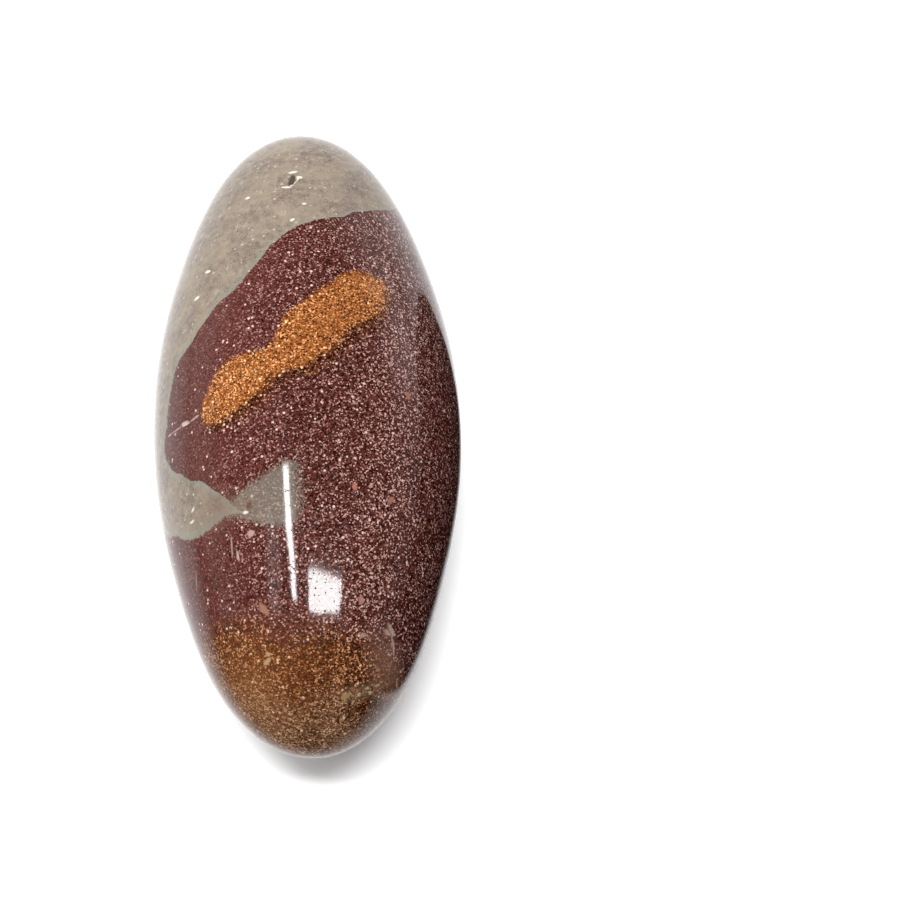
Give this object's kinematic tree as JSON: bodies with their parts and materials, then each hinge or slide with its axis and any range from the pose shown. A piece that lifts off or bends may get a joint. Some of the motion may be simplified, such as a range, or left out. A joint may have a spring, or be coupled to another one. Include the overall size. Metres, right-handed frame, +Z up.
{
  "type": "shiva lingam stone",
  "caption": "Polished egg-shaped river stone of banded quartz rock, lying on a small flat spot, with a natural pit near one end.",
  "frame": {"origin": "centre of the bounding box in plan, on the surface that the stone rests on", "axes": "+Y along the stone towards its far, pitted end; +Z up, away from the flat spot that it rests on; +X to the right as seen from the near end"},
  "size_m": [0.036, 0.079, 0.0345],
  "materials": {
    "polished_stone": "hand-polished cryptocrystalline quartz rock: maroon with an ochre patch, a grey-olive cap and side, fine pale quartz grains, glossy"
  },
  "bodies": {
    "root": {"stone": "polished_stone"}
  },
  "joints": []
}
